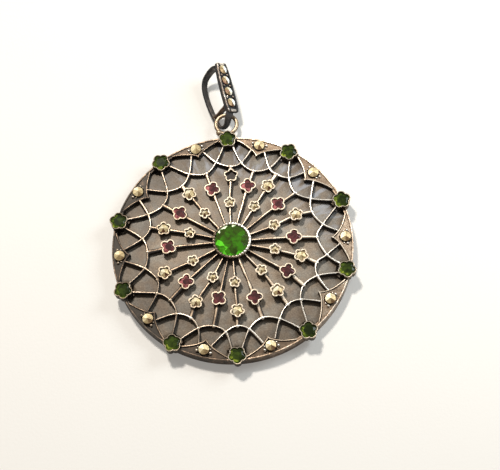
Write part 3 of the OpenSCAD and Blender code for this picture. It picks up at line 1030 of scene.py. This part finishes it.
def lobed(base, outline, turn, girdle, height, tone):
    """A stone seen through a flower cup: a table, a step and a girdle that follows the petals."""
    shape = Shape()
    n = len(outline)
    top_r = min(outline) * LOBED_TABLE
    step_z = height - (height - girdle) * LOBED_STEP_DOWN
    levels = ((0, height), (LOBED_STEP_OUT, step_z), (1, girdle), (1, girdle - LOBED_GIRDLE))
    rings = []
    for share, z in levels:
        rings.append([base + at(turn + 360 * i / n, top_r + (r - top_r) * share, z)
                      for i, r in enumerate(outline)])
    shape.facet(rings[0], tone(None))
    for a, b in zip(rings, rings[1:]):
        for start in range(0, n, LOBED_FACET):
            shade = tone(a[start] - base)
            for i in range(start, start + LOBED_FACET):
                j = (i + 1) % n
                shape.facet([a[i], a[j], b[j], b[i]], shade)
    lower = [Vector((p.x, p.y, base.z)) for p in rings[-1]]
    shape.band(rings[-1], lower, GIRDLE_TONE)
    shape.facet(lower, GIRDLE_TONE)
    return shape


def brilliant(base, d, girdle, height, table, tone, sides, turn):
    """A round stone cut with a flat table, star and kite facets and a girdle."""
    shape = Shape()
    half = d / 2
    step = 360 / sides
    top_z = girdle + ROUND_GIRDLE
    mid_z = top_z + (height - top_z) * ROUND_MID_UP

    def corner(angle, r, z):
        return base + at(angle + turn, r, z)

    top = [corner(step * i, half * table, height) for i in range(sides)]
    mid_r = half * (table + ROUND_MID_OUT)
    mid = [corner(step * (i + 0.5), mid_r, mid_z) for i in range(sides)]
    edge = [corner(step * i / 2, half, top_z) for i in range(2 * sides)]
    centre = base + Vector((0, 0, height))
    for i in range(sides):
        j = (i + 1) % sides
        shape.facet([top[i], top[j], centre], tone(None))
        left, under, right = edge[2 * i], edge[2 * i + 1], edge[(2 * i + 2) % (2 * sides)]
        star = [top[i], top[j], mid[i]]
        kite = [top[i], mid[i], left, mid[i - 1]]
        for facet in (star, kite, [mid[i], left, under], [mid[i], under, right]):
            shape.facet(facet, tone(sum(facet, Vector()) / len(facet) - base))
    lower = [p - Vector((0, 0, ROUND_GIRDLE)) for p in edge]
    back = [base + (p - base) * ROUND_BACK for p in lower]
    back = [Vector((p.x, p.y, base.z)) for p in back]
    shape.band(edge, lower, GIRDLE_TONE)
    shape.band(lower, back, GIRDLE_TONE)
    shape.facet(back, GIRDLE_TONE)
    return shape


def pyramid(base, d, height, painted_shine, light=0.2 * LIGHT_SIDE):
    """A marcasite: flat facets that meet in a point, on a round girdle, each painted lighter when
    it faces the light and dark when it faces away.
    """
    shape = Shape()
    turn = draw.uniform(0, 60)
    drop = (height - PYRITE_GIRDLE) * PYRITE_FALL
    per = PYRITE_FACET_STEPS
    n = PYRITE_FACETS * per
    apex = base + Vector((0, 0, height))
    girdle = []
    for i in range(n):
        off = (i % per / per - 0.5) * 2 * math.pi / PYRITE_FACETS
        z = height - drop * math.cos(off) / math.cos(math.pi / PYRITE_FACETS)
        girdle.append(base + at(turn + 360 * i / n, d / 2, z))
    for start in range(0, n, per):
        facet = [girdle[(start + s) % n] for s in range(per + 1)]
        faces = (sum(facet, Vector()) / len(facet) - base).xy.normalized()
        tone = PYRITE_TONE + painted_shine + faces.dot(light) + draw.uniform(*PYRITE_SPREAD)
        if faces.dot(DARK_SIDE) > DARK_FACING:
            tone = draw.uniform(*PYRITE_DARK)
        shape.facet([apex] + facet, tone)
    lower = [Vector((p.x, p.y, base.z)) for p in girdle]
    shape.band(girdle, lower, PYRITE_SIDE_TONE)
    shape.facet(lower, PYRITE_SIDE_TONE)
    return shape


def seat_of(node):
    """The middle of a stone's flat back, and its width, in millimetres."""
    low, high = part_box(node)
    return Vector(((low.x + high.x) / 2, (low.y + high.y) / 2, low.z)) / MM, (high.x - low.x) / MM


def lit(where, low, high, spread=0.2):
    """A facet's painted light: its tone is higher towards the lower left, where the light leaves
    the stone.
    """
    share = 0.35
    if where is not None and where.xy.length > 0:
        share = 0.5 + 0.5 * where.xy.normalized().dot(GEM_FLASH)
    return clamped(low + (high - low) * share + draw.uniform(-spread, spread))


def centre_tone(where):
    """Painted tone of a facet of the centre stone, with its painted flashes, its low glow and its
    glints.
    """
    if where is None:
        return draw.uniform(0.2, 0.5)
    angle = math.degrees(math.atan2(where.x, where.y))
    r = where.xy.length
    for middle, reach, least, most, tone in CENTRE_LIGHTS:
        if abs((angle - middle + 180) % 360 - 180) < reach and least < r < most:
            return tone
    return lit(where, 0.25, 0.55, 0.12)


def cut_stone(shape, name, material, node):
    weld(piece(shape, name, material, [node], flat=True))


def stones():
    rim_outline = flower(*COLLET_FORM, COLLET_WALL + STONE_PLAY)
    red_outline = flower(*RED_FORM, CUP_WALL + STONE_PLAY)
    shape = brilliant(*seat_of("centre_stone"), girdle=0.75, height=1.3, table=0.58,
                      tone=centre_tone, sides=12, turn=CENTRE_TURN)
    cut_stone(shape, "centre_gem", GREEN, "centre_stone")
    for k in range(1, 11):
        node = f"rim_stone_{k}"
        shape = lobed(seat_of(node)[0], rim_outline, RIM_STONES[k - 1][0], girdle=0.72,
                      height=0.96, tone=lambda where: lit(where, 0.1, 0.75))
        cut_stone(shape, f"rim_gem_{k}", DARK_GREEN, node)
        node = f"red_stone_{k}"
        base, _ = seat_of(node)
        # Painted shade: the red stones are darker towards the lower right, away from the light
        red_shade = RED_SHADE * max(0, base.xy.normalized().dot(-LIGHT_SIDE) + 0.2)

        def red_tone(where):
            return lit(where, 0.3 - red_shade, 1 - 3 * red_shade) if where else RED_TABLE_TONE

        shape = lobed(base, red_outline, RED_TURNS[k - 1], girdle=0.3, height=0.48, tone=red_tone)
        cut_stone(shape, f"red_gem_{k}", RED, node)
        for name, kind, height, painted_shine in PYRITES:
            node = f"{kind}_{k}"
            if kind != "outer_marcasite" or k > EMPTY_CUPS:
                shape = pyramid(*seat_of(node), height, painted_shine)
                cut_stone(shape, f"{name}_{k}", MARCASITE, node)


# Hanging ring and bail

def hanging_ring():
    """The ring with its lug and a lump of solder."""
    shape = Shape()
    half = RING_WIRE / 2
    sides = 14
    rows = []
    for s in range(sides):
        a = 2 * math.pi * s / sides
        rows.append((RING_R + half * math.cos(a), half * math.sin(a), 0.3 + 0.3 * math.sin(a)))
    revolve(shape, rows, Vector(RING_AT), count=64)
    width, length, thick = LUG_SIZE
    path = straight(*(Vector((RING_AT[0], LUG_Y + side * length / 2, RING_AT[2] + thick / 2))
                      for side in (-1, 1)))
    sweep(shape, path, [UP] * len(path), wire_section(width, thick))
    ball(shape, SOLDER_AT, SOLDER_R, SOLDER_R * 0.9, wear_and_shade=0.6, count=16, rings=10)
    frame_piece(shape, "hanging_ring", RING_SILVER)


BAIL_FRAME = (Matrix.Translation(BAIL_AT) @ turned("Z", BAIL_LEAN) @ turned("X", BAIL_PITCH)
              @ turned("Y", BAIL_FLOP))
# The channel strip is twisted about its raised edge
STRIP_EDGE = Matrix.Translation((-STRIP_W / 2, 0, -STRIP_T / 2))
STRIP_FRAME = BAIL_FRAME @ STRIP_EDGE @ turned("Y", -STRIP_TWIST) @ STRIP_EDGE.inverted()


def bail_piece(shape, name, material):
    piece(shape, name, material, ["bail"])


def strip_half(y):
    """Half the width of the channel strip at a distance along it."""
    share = y / STRIP_L
    for (a, wide_a), (b, wide_b) in zip(STRIP_OUTLINE, STRIP_OUTLINE[1:]):
        if share <= b:
            return STRIP_W / 2 * (wide_a + (wide_b - wide_a) * (share - a) / (b - a))
    return STRIP_W / 2 * STRIP_OUTLINE[-1][1]


def bail_channel():
    """The strip in front with its sunk channel, a bright edge above and beads by the stones."""
    shape = Shape()
    rings = []
    for i in range(STRIP_STEPS + 1):
        y = STRIP_L * i / STRIP_STEPS
        half = strip_half(y)
        edge = half - CHANNEL_MARGIN
        near_end = min(y, STRIP_L - y)
        sunk = clamped((near_end - CHANNEL_MARGIN) / CHANNEL_SLOPE)
        soft = 0.1 * max(0, 1 - near_end / CHANNEL_SLOPE)
        deep = -CHANNEL_DEPTH * sunk
        bed = min(-soft, deep)
        side = [
            (half - 0.12, -STRIP_T + soft, 0.15), (half, -STRIP_T + 0.12 + soft, 0.3),
            (half, -0.3 - soft, 0.45), (half, -0.1 - soft, 0.8), (half - 0.08, -0.015 - soft, 1.05),
            (edge + 0.24, -soft, 0.95), (edge + 0.12, -soft, 0.5),
            (edge, min(-soft, deep * 0.2), 0.35), (edge - 0.04, bed, 0.25),
            (edge * 0.5, bed, 0.05 if sunk else 1.4),
        ]
        fresh = NECK_WEAR + (1 - NECK_WEAR) * min(1, y / NECK_L) if sunk else 1
        rows = [(x, z, wear_and_shade * LOW_EDGE_WEAR) for x, z, wear_and_shade in side[:-1]] + side[-1:]
        rows += [(-x, z, wear_and_shade * fresh) for x, z, wear_and_shade in reversed(side)]
        rings.append(shape.ring([(x, y, z) for x, z, _ in rows], [wear_and_shade for _, _, wear_and_shade in rows]))
    shape.rod(rings)
    for a, b in zip(BAIL_STONES_Y, BAIL_STONES_Y[1:]):
        for side in (-1, 1):
            ball(shape, (side * PRONG_AT[0], (a + b) / 2, PRONG_AT[1]), PRONG_R)
    shape.move(lambda p: STRIP_FRAME @ p)
    bail_piece(shape, "bail_channel", BAIL_SILVER)


def near(p, amount, y, depth, reach):
    """An amount that fades with the distance of a point of the bail's loop from a place on it."""
    share = max(0, 1 - math.hypot(p.y - y, p.z + depth) / reach)
    return amount * share * share * (3 - 2 * share)


def flat_section(width, thick, soft, wear_and_shade):
    """Outline across a flat strip with soft corners, from its lower left corner on."""
    x, y = width / 2, thick / 2
    corners = [
        (-x, -y + soft), (-x + soft, -y), (x - soft, -y), (x, -y + soft),
        (x, y - soft), (x - soft, y), (-x + soft, y), (-x, y - soft),
    ]
    return [(*corner, w) for corner, w in zip(corners, wear_and_shade)]


def bail_strip():
    """The thin strip, bent in a closed loop through the hanging ring and narrower beside it."""
    shape = Shape()
    path = spline([Vector((0, y, -depth)) for y, depth in LOOP_POINTS], 8, closed=True)
    n = len(path)
    ups = []
    for i in range(n):
        along = path[(i + 1) % n] - path[i - 1]
        ups.append(Vector((0, -along.z, along.y)).normalized())
    widths = [1 + sum(near(p, *spot) for spot in LOOP_WIDTHS) for p in path]
    rubs = [near(p, *LOOP_RUB) for p in path]
    for p in path:
        p.x = near(p, *LOOP_SHIFT)
    section = flat_section(BACK_W, BACK_T, BACK_SOFT, (0.4, 0.6, 0.6, 0.4, 0.2, 0.15, 0.15, 0.2))
    sweep(shape, path, ups, section, closed=True, widths=widths, rubs=rubs)
    shape.move(lambda p: BAIL_FRAME @ p)
    for p in shape.points:
        p.z = max(p.z, BAIL_LOWEST)
    bail_piece(shape, "bail_strip", BAIL_SILVER)


def bail_strap():
    """The coppery strap that closes the loop above the hanging ring."""
    shape = Shape()
    path = spline([Vector((0, y, -depth)) for y, depth in STRAP_POINTS], 6)
    section = flat_section(BACK_W, STRAP_T, STRAP_SOFT, (0.6, 0.7, 0.6, 0.5, 0.55, 0.7, 0.9, 0.8))
    sweep(shape, path, [Vector((0, 1, 0))] * len(path), section)
    shape.move(lambda p: BAIL_FRAME @ p)
    bail_piece(shape, "bail_strap", COPPER_SILVER)


def bail_stones():
    for k, y in enumerate(BAIL_STONES_Y, 1):
        base = Vector((0, y, STONE_PLAY - CHANNEL_DEPTH))
        shape = pyramid(base, BAIL_STONE_D, 0.46, painted_shine=0.1, light=0.55 * BAIL_GLINT)
        shape.move(lambda p: STRIP_FRAME @ p)
        cut_stone(shape, f"bail_pyrite_{k}", MARCASITE, f"bail_marcasite_{k}")


# Studio

CAMERA_TARGET = Vector((3.19, 2.63, 0.0))
CAMERA_DISTANCE = 274.2
CAMERA_AZIMUTH = 0.55
CAMERA_ELEVATION = 66.63
CAMERA_ROLL = -6.16
CAMERA_LENS = 112.9

# Lights: azimuth, elevation, distance, size, power, colour
KEY = (-18, 55, 420, 50, 2.1, (1.0, 0.95, 0.88))
WINDOW = (66, 38, 170, 76, 0.17, (0.86, 0.95, 1.0))
SKY_AT = (8, 63)
COOL_AT = (60, 40)
SKY_STRENGTH = 0.24
FLOOR_HALF = 1.5
FLOOR_SINK = 0.02


def toward(azimuth, elevation):
    """Direction to a place seen from the medallion: azimuth clockwise from +Y."""
    flat = math.cos(math.radians(elevation))
    return at(azimuth, flat, math.sin(math.radians(elevation)))


def camera():
    data = bpy.data.cameras.new("camera")
    data.lens = CAMERA_LENS
    data.clip_start = 0.005
    obj = link("camera", data)
    away = toward(180 - CAMERA_AZIMUTH, CAMERA_ELEVATION)
    obj.location = (CAMERA_TARGET + away * CAMERA_DISTANCE) * MM
    facing = (-away).to_track_quat("-Z", "Y").to_matrix().to_4x4()
    obj.matrix_world = Matrix.Translation(obj.location) @ facing @ turned("Z", CAMERA_ROLL)
    bpy.context.scene.camera = obj


def area_light(name, azimuth, elevation, distance, size, power, colour):
    direction = toward(azimuth, elevation)
    data = bpy.data.lights.new(name, "AREA")
    data.size = size * MM
    data.energy = power
    data.color = colour
    obj = link(name, data)
    obj.location = direction * distance * MM
    obj.rotation_euler = (-direction).to_track_quat("-Z", "Y").to_euler()


def world():
    """A dim room with a wide pale opening overhead towards the back, cooler on its right side."""
    look = Look("studio", "worlds", "Background", "Generated")
    opening = look.ramp(look.along(toward(*SKY_AT)), [
        (0.0, (0.5, 0.46, 0.42)), (0.5, (0.55, 0.51, 0.47)), (0.74, (0.65, 0.62, 0.58)),
        (0.93, (1.0, 0.97, 0.93)),
    ])
    tint = look.ramp(look.along(toward(*COOL_AT)), [
        (0.55, (1.0, 0.95, 0.88)), (0.9, (0.84, 0.95, 1.0)),
    ])
    look.set(Color=look.tinted(opening, tint), Strength=SKY_STRENGTH)
    bpy.context.scene.world = look.owner


def floor():
    mesh = bpy.data.meshes.new("floor")
    corners = [(x * FLOOR_HALF, y * FLOOR_HALF, 0) for x, y in ((-1, -1), (1, -1), (1, 1), (-1, 1))]
    mesh.from_pydata(corners, [], [(0, 1, 2, 3)])
    look = Look("pale_floor")
    pale = look.mix(look.noise(size=40.0, detail=2.0), (0.56, 0.54, 0.51), (0.58, 0.565, 0.54))
    look.set(Base_Color=pale, Roughness=0.9, Emission_Color=(1.0, 0.97, 0.92),
             Emission_Strength=0.24)
    look.bump(look.noise(0.5), depth=0.02)
    mesh.materials.append(look.owner)
    obj = link("floor", mesh)
    obj.location.z = -FLOOR_SINK * MM


camera()
back_plate()
rim()
lattice()
rays()
panel_edges()
panel_floors()
rim_grains()
collets()
flower_cups("red_cups", RED_CUPS, RED_TURNS, RED_FORM, filled=len(RED_CUPS))
flower_cups("outer_cups", OUTER_CUPS, OUTER_TURNS, OUTER_FORM, filled=EMPTY_CUPS)
flower_cups("inner_cups", INNER_CUPS, INNER_TURNS, INNER_FORM, filled=0)
bezel()
stones()
hanging_ring()
bail_channel()
bail_strip()
bail_strap()
bail_stones()
floor()
world()
area_light("key", *KEY)
area_light("window", *WINDOW)
bpy.context.scene.view_settings.view_transform = "Standard"
